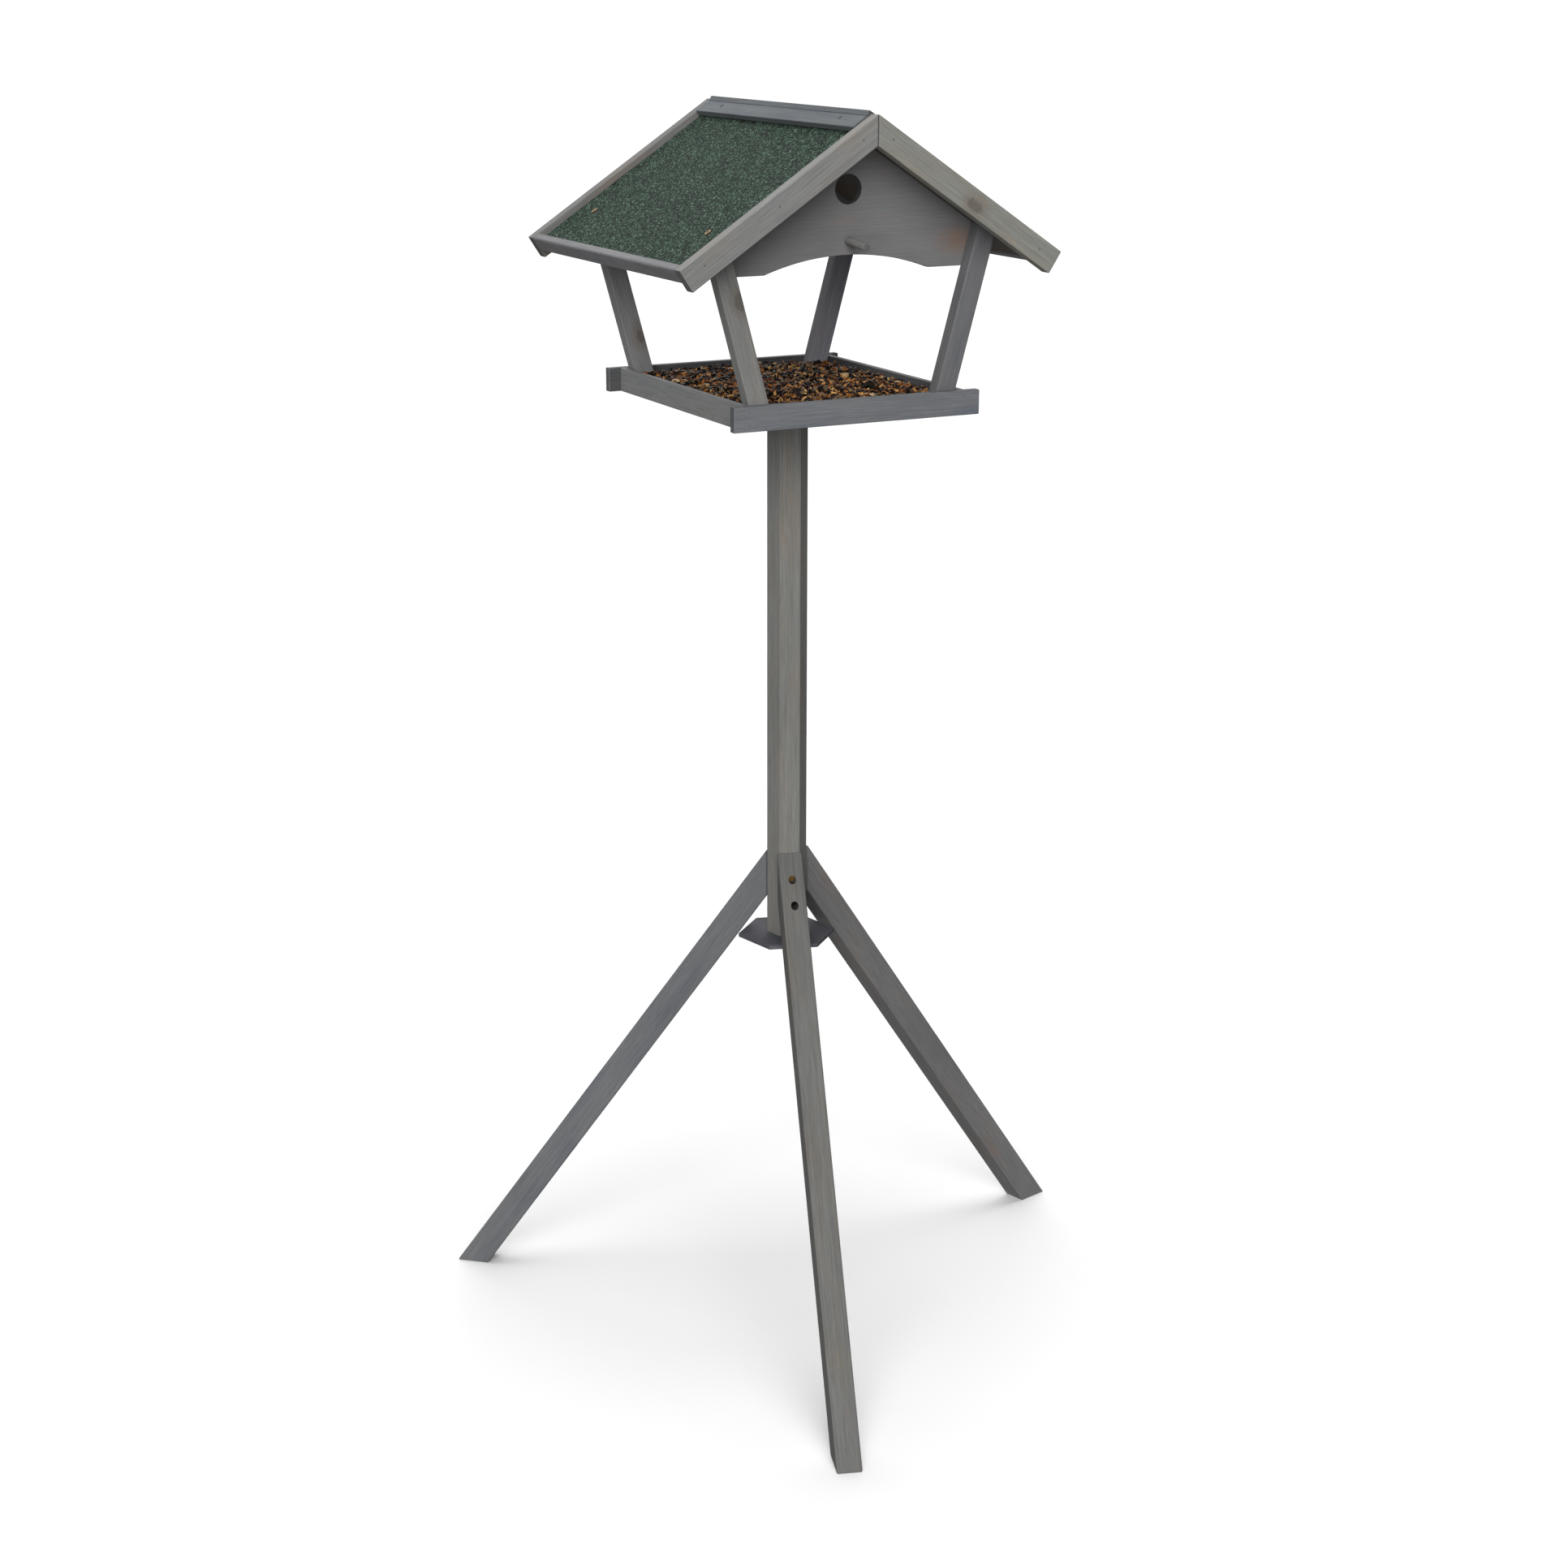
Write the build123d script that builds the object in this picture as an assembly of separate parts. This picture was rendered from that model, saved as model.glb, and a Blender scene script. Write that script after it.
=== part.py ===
from build123d import *
from math import atan2, cos, degrees, radians, sin, tan
import os

# A bird table: a roofed feeding house on a hexagonal pole with three splayed legs.
# Millimetres, +Z up. The origin is on the ground, under the pole's axis.
# X runs across the gables, Y along the ridge, and the front gable faces -Y.

# ---- driving dimensions ----

# tripod
pole_across_flats = 42.5
pole_turn = -17.5            # the front leg's face, in degrees from -Y towards +X
leg_width = 30.0             # across the leg, level
leg_depth = 34.0             # square to the leg's length, in its plane
leg_top = 607.0              # height of each leg's pointed top
leg_upper_screw = 578.0
leg_lower_screw = 551.0
leg_screw_seat = 14.0        # wood left between the pole and each screw's head
leg_screw_length = 34.0
counterbore_radius = 4.6
legs = {                     # face of the pole, skew on that face, level run of the leg
    "front": (0.0, 0.0, 420.5),
    "right": (120.0, 2.4, 449.0),
    "left": (-120.0, 7.0, 423.0),
}
plate_side = 60.0            # side of both hexagonal plates
spreader_thickness = 5.0
spreader_top = 498.0

# tray
tray_bottom = 1154.0
tray_height = 28.0
tray_length = 351.0          # along Y, over the end boards
end_board_length = 310.0     # along X
end_board_thickness = 10.0
side_board_span = 280.0      # along X, over the side boards
side_board_thickness = 8.0
floor_thickness = 9.0
seed_depth = 13.5
head_plate_thickness = 6.0

# posts
post_lean = 15.5             # degrees from upright, outwards along X
post_width = 24.0
post_depth = 18.0
post_face_y = 163.0          # outer faces, from the middle of the house
post_axis_x = 118.5          # at the tray's rim

# roof
roof_pitch = 33.3
ridge_height = 1490.5        # where the barge boards' top faces would meet
roof_half_span = 235.5       # to the barge boards' lower top corners, level
roof_length = 425.0          # over the barge boards
barge_width = 28.0
barge_thickness = 15.0
mitre_gap = 0.9
felt_recess = 5.5            # felt's face below the barge boards' top faces
felt_thickness = 2.5
roof_board_thickness = 9.0
eave_strip_width = 9.0       # down the slope
eave_strip_depth = 17.0      # square to the slope
ridge_board_width = 27.0
ridge_board_thickness = 7.0
roof_screw_slope = 213.0     # down the slope from the ridge
ridge_nail_y = 148.0

# gables
gable_thickness = 9.0
gable_bottom = 1318.5
gable_half_width = 160.0
arch_half_width = 103.0
arch_rise = 18.0
hole_radius = 16.5
hole_height = 1407.5
perch_radius = 4.5
perch_height = 1352.0
perch_reach = 43.0           # beyond the gable's face
perch_droop = 5.0            # degrees below level

# ---- worked out from the above ----

pole_apothem = pole_across_flats / 2
pole_corner = pole_apothem / cos(radians(30))
tray_rim = tray_bottom + tray_height
floor_top = tray_bottom + floor_thickness
end_inner_y = tray_length / 2 - end_board_thickness
side_inner_x = side_board_span / 2 - side_board_thickness
slope_length = roof_half_span / cos(radians(roof_pitch))
barge_inner_y = roof_length / 2 - barge_thickness
board_top = felt_recess + felt_thickness
board_under = board_top + roof_board_thickness
board_end = slope_length - eave_strip_width
under_apex = ridge_height - board_under / cos(radians(roof_pitch))
post_inner_y = post_face_y - post_depth
post_middle_y = post_face_y - post_depth / 2
post_half_level = post_width / 2 / cos(radians(post_lean))
far = 2000.0                 # longer than anything in the model


# ---- shared helpers ----

def block(x0, x1, y0, y1, z0, z1):
    """A box between two corners."""
    middle = ((x0 + x1) / 2, (y0 + y1) / 2, (z0 + z1) / 2)
    return Pos(*middle) * Box(x1 - x0, y1 - y0, z1 - z0)


def prism_xz(points, y0, y1):
    """A closed outline in the XZ plane, extruded from y0 to y1."""
    outline = make_face(Polyline(*points, close=True))
    upright = Plane(origin=(0, y0, 0), x_dir=(1, 0, 0), z_dir=(0, -1, 0))
    return extrude(upright * outline, -(y1 - y0))


def on_slope(shape, side):
    """Lay a flat piece on a roof slope: x is down the slope from the ridge, z square to it."""
    right = Pos(0, 0, ridge_height) * Rot(0, roof_pitch, 0) * shape
    return right if side > 0 else mirror(right, Plane.YZ)


def plumb_cut(shape, side, gap=0.0):
    """Cut a roof piece upright at the ridge, half a gap short of the middle."""
    inner = gap / 2
    keep = block(inner, far, -far, far, 0, far)
    return shape & (keep if side > 0 else mirror(keep, Plane.YZ))


def aimed(shape, point, outward):
    """Move a fastener modelled head up at the origin to a point, its head facing outward."""
    return Plane(origin=point, z_dir=outward).location * shape


def turned(points):
    """A solid of revolution about Z from (radius, height) points."""
    profile = make_face(Polyline(*[(r, 0, z) for r, z in points], close=True))
    return revolve(profile, Axis.Z, 360)


def wood_screw(length, shank, head):
    """A countersunk cross-head wood screw. Returns the screw and the hole it fills."""
    cone = head - shank
    tip = 2.5 * shank
    body = turned([(0, 0), (head, 0), (head, -0.5), (shank, -0.5 - cone), (shank, tip - length), (0, -length)])
    slot = Box(head * 1.15, head * 0.28, 2.4) + Box(head * 0.28, head * 1.15, 2.4)
    return body - slot, body


def wire_nail(length, shank, head, head_depth):
    """A flat-headed nail. The hole it fills is its own shape."""
    return turned([(0, 0), (head, 0), (head, -head_depth), (shank, -head_depth), (shank, 2 * shank - length),
                   (0, -length)])


def bored(shape, holes):
    """Cut the fasteners' holes out of a piece."""
    for hole in holes:
        shape = shape - hole
    return shape


parts = {}

# ---- fasteners, modelled first so that each piece can be bored for them ----

leg_screw, leg_screw_hole = wood_screw(leg_screw_length, 2.2, 4.0)
roof_screw, roof_screw_hole = wood_screw(34.0, 2.0, 4.0)
short_screw, short_screw_hole = wood_screw(13.0, 1.6, 3.2)
pole_screw, pole_screw_hole = wood_screw(40.0, 2.2, 4.2)
post_screw, post_screw_hole = wood_screw(36.0, 1.9, 3.7)
ridge_nail = wire_nail(14.0, 1.0, 2.6, 0.8)
panel_pin = wire_nail(22.0, 0.8, 1.3, 0.8)

# ---- tripod ----

def hexagon(corner, z0, z1):
    """A hexagonal prism with one flat facing the front leg."""
    flat = RegularPolygon(corner, 6, rotation=30)
    return Rot(0, 0, pole_turn - 90) * Pos(0, 0, z0) * extrude(flat, z1 - z0)


def from_face(shape, face_angle, skew):
    """Turn a leg piece from its own plane, leg running along +X, to its face of the pole."""
    return Rot(0, 0, pole_turn - 90 + face_angle) * Pos(pole_apothem, 0, 0) * Rot(0, 0, skew) * shape


leg_screws = []
leg_screw_holes = []
past_face = 12.0                                # each leg is modelled this far into the pole, then cut flush
for name, (face_angle, skew, run) in legs.items():
    splay = atan2(run, leg_top)
    start = leg_top + past_face / tan(splay)
    contact = leg_depth / sin(splay)
    foot = leg_depth / cos(splay)
    outline = [(-past_face, start), (run, 0), (run - foot, 0), (-past_face, start - contact)]
    leg = prism_xz(outline, -leg_width / 2, leg_width / 2)
    holes = []
    for height in (leg_upper_screw, leg_lower_screw):
        seat = (leg_screw_seat, 0, height)
        leg = leg - Pos(leg_screw_seat, 0, height) * Rot(0, 90, 0) * extrude(Circle(counterbore_radius), 60)
        leg_screws.append(from_face(aimed(leg_screw, seat, (1, 0, 0)), face_angle, skew))
        holes.append(from_face(aimed(leg_screw_hole, seat, (1, 0, 0)), face_angle, skew))
    leg = bored(from_face(leg, face_angle, skew), holes)
    clear_of_pole = Rot(0, 0, pole_turn - 90 + face_angle) * block(pole_apothem, far, -far, far, 0, far)
    parts["leg_" + name] = leg & clear_of_pole
    leg_screw_holes += holes

foot_seat = (0, 0, spreader_top - spreader_thickness)
foot_screw = aimed(pole_screw, foot_seat, (0, 0, -1))
foot_screw_hole = aimed(pole_screw_hole, foot_seat, (0, 0, -1))
head_plate_bottom = tray_bottom - head_plate_thickness
head_screws = []
head_screw_holes = []
head_screw_ring = 12.0
tray_screw_ring = 44.0
for angle in (90, 210, 330):
    seat = (head_screw_ring * cos(radians(angle)), head_screw_ring * sin(radians(angle)), tray_bottom)
    head_screws.append(aimed(pole_screw, seat, (0, 0, 1)))
    head_screw_holes.append(aimed(pole_screw_hole, seat, (0, 0, 1)))
tray_screws = []
tray_screw_holes = []
for corner in range(6):
    angle = radians(pole_turn + 60 * corner)
    seat = (tray_screw_ring * cos(angle), tray_screw_ring * sin(angle), head_plate_bottom)
    tray_screws.append(aimed(short_screw, seat, (0, 0, -1)))
    tray_screw_holes.append(aimed(short_screw_hole, seat, (0, 0, -1)))

pole = hexagon(pole_corner, spreader_top, head_plate_bottom)
parts["pole"] = bored(pole, leg_screw_holes + [foot_screw_hole] + head_screw_holes)
spreader = hexagon(plate_side, spreader_top - spreader_thickness, spreader_top)
parts["spreader_plate"] = bored(spreader, [foot_screw_hole])
head_plate = hexagon(plate_side, head_plate_bottom, tray_bottom)
parts["head_plate"] = bored(head_plate, head_screw_holes + tray_screw_holes)
parts["leg_screws"] = Compound(leg_screws)
parts["spreader_screw"] = foot_screw
parts["head_plate_screws"] = Compound(head_screws)
parts["tray_screws"] = Compound(tray_screws)

# ---- posts ----

def post_edge(offset, height):
    """Level distance of a post's edge from the ridge's plane, at a height."""
    return post_axis_x + offset + (height - tray_rim) * tan(radians(post_lean))


def post_top(offset):
    """Height at which a post's edge meets the underside of the roof board."""
    pitch = tan(radians(roof_pitch))
    lean = tan(radians(post_lean))
    return (under_apex - pitch * (post_axis_x + offset - tray_rim * lean)) / (1 + pitch * lean)


post_outline = []
for offset in (-post_half_level, post_half_level):
    post_outline.append((post_edge(offset, floor_top), floor_top))
for offset in (post_half_level, -post_half_level):
    post_outline.append((post_edge(offset, post_top(offset)), post_top(offset)))

corners = {"front_left": (-1, -1), "front_right": (1, -1), "back_left": (-1, 1), "back_right": (1, 1)}
roof_screws = []
roof_screw_holes = []
post_screws = []
post_screw_holes = []
gable_pins = []
for name, (sx, sy) in corners.items():
    out = (sx * sin(radians(roof_pitch)), 0, cos(radians(roof_pitch)))
    along = radians(roof_pitch)
    level = roof_screw_slope * cos(along) - felt_recess * sin(along)
    drop = roof_screw_slope * sin(along) + felt_recess * cos(along)
    seat = (sx * level, sy * post_middle_y, ridge_height - drop)
    roof_screws.append(aimed(roof_screw, seat, out))
    roof_screw_holes.append(aimed(roof_screw_hole, seat, out))
    foot_x = sx * (post_edge(0, tray_bottom) + 2)
    lean_down = (-sx * sin(radians(post_lean)), 0, -cos(radians(post_lean)))
    post_screws.append(aimed(post_screw, (foot_x, sy * post_middle_y, tray_bottom), lean_down))
    post_screw_holes.append(aimed(post_screw_hole, (foot_x, sy * post_middle_y, tray_bottom), lean_down))
    for height in (gable_bottom + 5, gable_bottom + 17):
        pin_seat = (sx * post_edge(-4, height), sy * (post_inner_y - gable_thickness), height)
        gable_pins.append(aimed(panel_pin, pin_seat, (0, -sy, 0)))
    post = prism_xz(post_outline, sy * post_middle_y - post_depth / 2, sy * post_middle_y + post_depth / 2)
    if sx < 0:
        post = mirror(post, Plane.YZ)
    holes = [roof_screw_holes[-1], post_screw_holes[-1]] + gable_pins[-2:]
    parts["post_" + name] = bored(post, holes)
parts["roof_screws"] = Compound(roof_screws)
parts["post_screws"] = Compound(post_screws)
parts["gable_pins"] = Compound(gable_pins)

# ---- tray ----

corner_pins = []
floor_pins = []
for sy in (-1, 1):
    for sx in (-1, 1):
        pin_x = sx * (side_inner_x + side_board_thickness / 2)
        for height in (tray_bottom + 7, tray_bottom + 21):
            corner_pins.append(aimed(panel_pin, (pin_x, sy * tray_length / 2, height), (0, sy, 0)))
    for pin_x in (-80, 80):
        middle = tray_bottom + floor_thickness / 2
        floor_pins.append(aimed(panel_pin, (pin_x, sy * tray_length / 2, middle), (0, sy, 0)))
for sx in (-1, 1):
    for pin_y in (-90, 90):
        middle = tray_bottom + floor_thickness / 2
        floor_pins.append(aimed(panel_pin, (sx * side_board_span / 2, pin_y, middle), (sx, 0, 0)))
tray_pins = corner_pins + floor_pins

half_end = end_board_length / 2
half_tray = tray_length / 2
half_side = side_board_span / 2
floor_board = block(-side_inner_x, side_inner_x, -end_inner_y, end_inner_y, tray_bottom, floor_top)
parts["tray_floor"] = bored(floor_board, tray_screw_holes + post_screw_holes + floor_pins + head_screw_holes)
end_board = block(-half_end, half_end, end_inner_y, half_tray, tray_bottom, tray_rim)
parts["tray_board_back"] = bored(end_board, tray_pins)
parts["tray_board_front"] = bored(mirror(end_board, Plane.XZ), tray_pins)
side_board = block(side_inner_x, half_side, -end_inner_y, end_inner_y, tray_bottom, tray_rim)
parts["tray_board_right"] = bored(side_board, tray_pins)
parts["tray_board_left"] = bored(mirror(side_board, Plane.YZ), tray_pins)
parts["tray_pins"] = Compound(tray_pins)

seed_gap = 0.3
seeds = block(seed_gap - side_inner_x, side_inner_x - seed_gap, seed_gap - end_inner_y, end_inner_y - seed_gap,
              floor_top, floor_top + seed_depth)
for sx, sy in corners.values():
    inner = post_edge(-post_half_level, floor_top) - seed_gap
    y_inner = post_inner_y - seed_gap
    seeds = seeds - block(*sorted((sx * inner, sx * far)), *sorted((sy * y_inner, sy * far)), 0, far)
parts["seed_bed"] = seeds

# ---- gables ----

def gable_panel():
    """The back gable panel, with its arched lower edge, round hole and perch bore."""
    y0 = post_inner_y - gable_thickness
    arch = ThreePointArc((arch_half_width, 0, gable_bottom), (0, 0, gable_bottom + arch_rise),
                         (-arch_half_width, 0, gable_bottom))
    shoulder = under_apex - gable_half_width * tan(radians(roof_pitch))
    rest = Polyline((-arch_half_width, 0, gable_bottom), (-gable_half_width, 0, gable_bottom),
                    (-gable_half_width, 0, shoulder), (0, 0, under_apex), (gable_half_width, 0, shoulder),
                    (gable_half_width, 0, gable_bottom), (arch_half_width, 0, gable_bottom))
    panel = Pos(0, y0, 0) * extrude(make_face(Wire([arch, *rest.edges()])), gable_thickness, dir=(0, 1, 0))
    hole = Cylinder(hole_radius, 4 * gable_thickness)
    perch_bore = Cylinder(perch_radius, 4 * gable_thickness)
    panel = panel - Pos(0, post_inner_y, hole_height) * Rot(90, 0, 0) * hole
    return panel - Pos(0, post_inner_y, perch_height) * Rot(90 - perch_droop, 0, 0) * perch_bore


# The perch droops a little from the gable's face, and its inner end is trimmed flush.
perch_length = perch_reach + 2 * gable_thickness
perch = Pos(0, 0, perch_length / 2 - perch_reach) * Cylinder(perch_radius, perch_length)
perch = chamfer(perch.edges().sort_by(Axis.Z)[0], 0.8)
perch = Pos(0, post_inner_y, perch_height) * Rot(90 - perch_droop, 0, 0) * perch
perch = perch - block(-far, far, -far, post_inner_y - gable_thickness, 0, far)
parts["gable_back"] = bored(gable_panel(), gable_pins)
parts["gable_front"] = bored(mirror(gable_panel(), Plane.XZ), gable_pins)
parts["perch_back"] = perch
parts["perch_front"] = mirror(perch, Plane.XZ)

# ---- roof ----

barge_pins = []
eave_pins = []
ridge_nails = []
ridge_nail_x = 14.0
for side in (-1, 1):
    for sy in (-1, 1):
        for down in (30, 150, 255):
            pin = aimed(panel_pin, (down, sy * roof_length / 2, -board_top - roof_board_thickness / 2), (0, sy, 0))
            barge_pins.append(on_slope(pin, side))
        nail_top = (ridge_nail_x, sy * ridge_nail_y, ridge_board_thickness - felt_recess)
        ridge_nails.append(on_slope(aimed(ridge_nail, nail_top, (0, 0, 1)), side))
    for pin_y in (-140, 0, 140):
        pin = aimed(panel_pin, (slope_length, pin_y, -board_top - roof_board_thickness / 2), (1, 0, 0))
        eave_pins.append(on_slope(pin, side))

# The right ridge board runs on over the left one's upper edge, and its lower arris is flush with
# the left one's face.
ridge_top = ridge_board_thickness - felt_recess
overlap = (ridge_top + felt_recess * cos(radians(2 * roof_pitch))) / sin(radians(2 * roof_pitch))
ridge_slab = block(-far, far, -far, far, -felt_recess, far)
sides = {"left": -1, "right": 1}
for name, side in sides.items():
    board = block(-30, board_end, -barge_inner_y, barge_inner_y, -board_under, -board_top)
    board = plumb_cut(on_slope(board, side), side)
    parts["roof_board_" + name] = bored(board, roof_screw_holes + barge_pins + eave_pins + ridge_nails)
    felt = block(-30, board_end, -barge_inner_y, barge_inner_y, -board_top, -felt_recess)
    felt = plumb_cut(on_slope(felt, side), side)
    parts["felt_" + name] = bored(felt, roof_screw_holes + ridge_nails)
    strip = block(board_end, slope_length, -barge_inner_y, barge_inner_y, -eave_strip_depth, 0)
    outer_arris = strip.edges().filter_by(Axis.Y).sort_by(lambda e: e.center().X + e.center().Z)[-1]
    parts["eave_strip_" + name] = bored(on_slope(fillet(outer_arris, 2.5), side), eave_pins)
    start = -overlap if side > 0 else -30
    cap = block(start, ridge_board_width, 0.5 - barge_inner_y, barge_inner_y - 0.5, -felt_recess, ridge_top)
    cap = on_slope(cap, side)
    if side < 0:
        cap = cap - on_slope(ridge_slab, 1)
    parts["ridge_board_" + name] = bored(cap, ridge_nails)
    for end, sy in (("front", -1), ("back", 1)):
        barge = block(-60, slope_length, *sorted((sy * barge_inner_y, sy * roof_length / 2)), -barge_width, 0)
        barge = plumb_cut(on_slope(barge, side), side, mitre_gap)
        parts["barge_board_" + end + "_" + name] = bored(barge, barge_pins)
parts["barge_pins"] = Compound(barge_pins)
parts["eave_pins"] = Compound(eave_pins)
parts["ridge_nails"] = Compound(ridge_nails)

# ---- write one STEP file for each node ----

os.makedirs("parts", exist_ok=True)
for name, shape in parts.items():
    export_step(shape, "parts/" + name + ".step")
print(len(parts), "nodes")
print("leg lengths", [round((leg_top ** 2 + run ** 2) ** 0.5) for _, _, run in legs.values()],
      "splay", [round(degrees(atan2(run, leg_top)), 1) for _, _, run in legs.values()])
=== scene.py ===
import math
import random

import bmesh
import bpy
from mathutils import Matrix, Vector, noise


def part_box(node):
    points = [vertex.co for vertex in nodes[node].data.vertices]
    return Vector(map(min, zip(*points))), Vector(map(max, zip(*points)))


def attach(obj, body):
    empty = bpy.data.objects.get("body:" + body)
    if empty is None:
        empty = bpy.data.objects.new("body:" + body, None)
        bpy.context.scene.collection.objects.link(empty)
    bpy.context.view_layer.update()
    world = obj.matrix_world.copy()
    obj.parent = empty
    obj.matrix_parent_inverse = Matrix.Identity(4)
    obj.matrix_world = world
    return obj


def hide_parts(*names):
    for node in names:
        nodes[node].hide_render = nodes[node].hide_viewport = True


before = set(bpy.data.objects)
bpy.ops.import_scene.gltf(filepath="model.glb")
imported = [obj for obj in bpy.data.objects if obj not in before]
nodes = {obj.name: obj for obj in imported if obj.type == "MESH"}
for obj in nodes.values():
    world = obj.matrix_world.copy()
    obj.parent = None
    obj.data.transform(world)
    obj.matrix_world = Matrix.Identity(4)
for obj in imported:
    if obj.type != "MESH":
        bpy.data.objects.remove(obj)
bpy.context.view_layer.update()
scene = bpy.context.scene
print("frame loaded:", len(nodes), "pieces")


def hexToLinear(code):
    # an sRGB hex colour as the linear RGBA that shaders want
    channels = [int(code[i:i + 2], 16) / 255 for i in (1, 3, 5)]
    return [c / 12.92 if c <= 0.04045 else ((c + 0.055) / 1.055) ** 2.4 for c in channels] + [1.0]


def addNode(tree, kind, sockets=None, ramp=None, **settings):
    # one shader node with its settings, socket values and links; a ramp lists (place, hex colour)
    node = tree.nodes.new("ShaderNode" + kind)
    for field, value in settings.items():
        setattr(node, field, value)
    for key, value in (sockets or {}).items():
        if isinstance(value, bpy.types.NodeSocket):
            tree.links.new(value, node.inputs[key])
        else:
            node.inputs[key].default_value = value
    if ramp:
        stops = node.color_ramp.elements
        while len(stops) < len(ramp):
            stops.new(0.5)
        for stop, (place, code) in zip(stops, ramp):
            stop.position = place
            stop.color = hexToLinear(code)
    return node


def perMetre(sizes):
    # how often a pattern of these sizes in millimetres repeats in a metre
    return tuple(1000 / size for size in sizes)


def newMaterial(name):
    material = bpy.data.materials.new(name)
    material.use_nodes = True
    tree = material.node_tree
    tree.nodes.clear()
    output = addNode(tree, "OutputMaterial")
    return material, tree, output


# camera at eye height, a little left of the front gable
cameraValues = {
    "place": (-1.4203, -2.7780, 1.6325),
    "turn": -27.016,
    "pitch": -16.85,
    "roll": 0.1,
    "lens": 61.38,
    "sensor": 36,
    "farthest": 500,
}


def makeCamera(values):
    camera = bpy.data.objects.new("camera", bpy.data.cameras.new("camera"))
    scene.collection.objects.link(camera)
    camera.matrix_world = (
        Matrix.Translation(values["place"])
        @ Matrix.Rotation(math.radians(values["turn"]), 4, "Z")
        @ Matrix.Rotation(math.radians(90 + values["pitch"]), 4, "X")
        @ Matrix.Rotation(math.radians(values["roll"]), 4, "Z")
    )
    camera.data.lens = values["lens"]
    camera.data.sensor_width = values["sensor"]
    camera.data.clip_end = values["farthest"]
    scene.camera = camera


makeCamera(cameraValues)
print("camera placed")


# soft studio light from wide distant sources; turns, heights and breadths in degrees
studioValues = {
    "key": {"turn": -29, "height": 26, "breadth": 45, "strength": 2.35},
    "front": {"turn": -29, "height": -12, "breadth": 80, "strength": 0.7},
    "top": {"turn": 0, "height": 88, "breadth": 30, "strength": 1.5},
    "left": {"turn": -95, "height": 12, "breadth": 80, "strength": 0.4},
    "right": {"turn": 120, "height": 8, "breadth": 80, "strength": 0.55},
    "back": {"turn": 165, "height": 22, "breadth": 70, "strength": 2.2},
    "bounce": {"turn": 150, "height": -65, "breadth": 100, "strength": 0.4},
}
studioRadius = 5.0
floorValues = {"size": 900.0, "below": 0.0004, "own": 0.03, "paint": "#f4f4f4"}


def makeStudio(lights, floor):
    for name, values in lights.items():
        sun = bpy.data.objects.new(name + "Light", bpy.data.lights.new(name + "Light", "SUN"))
        scene.collection.objects.link(sun)
        turn, height = math.radians(values["turn"]), math.radians(values["height"])
        level = math.cos(height)
        toLight = Vector((math.sin(turn) * level, -math.cos(turn) * level, math.sin(height)))
        sun.rotation_euler = toLight.to_track_quat("Z", "Y").to_euler()
        sun.location = toLight * studioRadius
        sun.data.energy = values["strength"]
        sun.data.angle = math.radians(values["breadth"])
    bm = bmesh.new()
    bmesh.ops.create_grid(bm, x_segments=1, y_segments=1, size=floor["size"] / 2)
    bmesh.ops.translate(bm, verts=bm.verts, vec=(0, 0, -floor["below"]))
    mesh = bpy.data.meshes.new("studioFloor")
    bm.to_mesh(mesh)
    bm.free()
    ground = bpy.data.objects.new("studioFloor", mesh)
    scene.collection.objects.link(ground)
    # matt white paper that glows a little, so that it is white but for the object's soft shadow
    material, tree, output = newMaterial("paperFloor")
    paper = addNode(tree, "BsdfDiffuse", {"Color": hexToLinear(floor["paint"])})
    glow = addNode(tree, "Emission", {"Color": (1, 1, 1, 1), "Strength": floor["own"]})
    both = addNode(tree, "AddShader", {0: paper.outputs[0], 1: glow.outputs[0]})
    tree.links.new(both.outputs[0], output.inputs["Surface"])
    mesh.materials.append(material)
    ground.visible_diffuse = False
    ground.visible_glossy = False
    ground.visible_shadow = False
    scene.world = bpy.data.worlds.new("whiteRoom")
    scene.world.use_nodes = True
    backdrop = scene.world.node_tree.nodes["Background"]
    backdrop.inputs["Color"].default_value = (1, 1, 1, 1)
    backdrop.inputs["Strength"].default_value = 1.0
    scene.world.cycles_visibility.diffuse = False
    scene.world.cycles_visibility.glossy = False
    scene.view_settings.view_transform = "Standard"


makeStudio(studioValues, floorValues)
print("studio lit")


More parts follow.
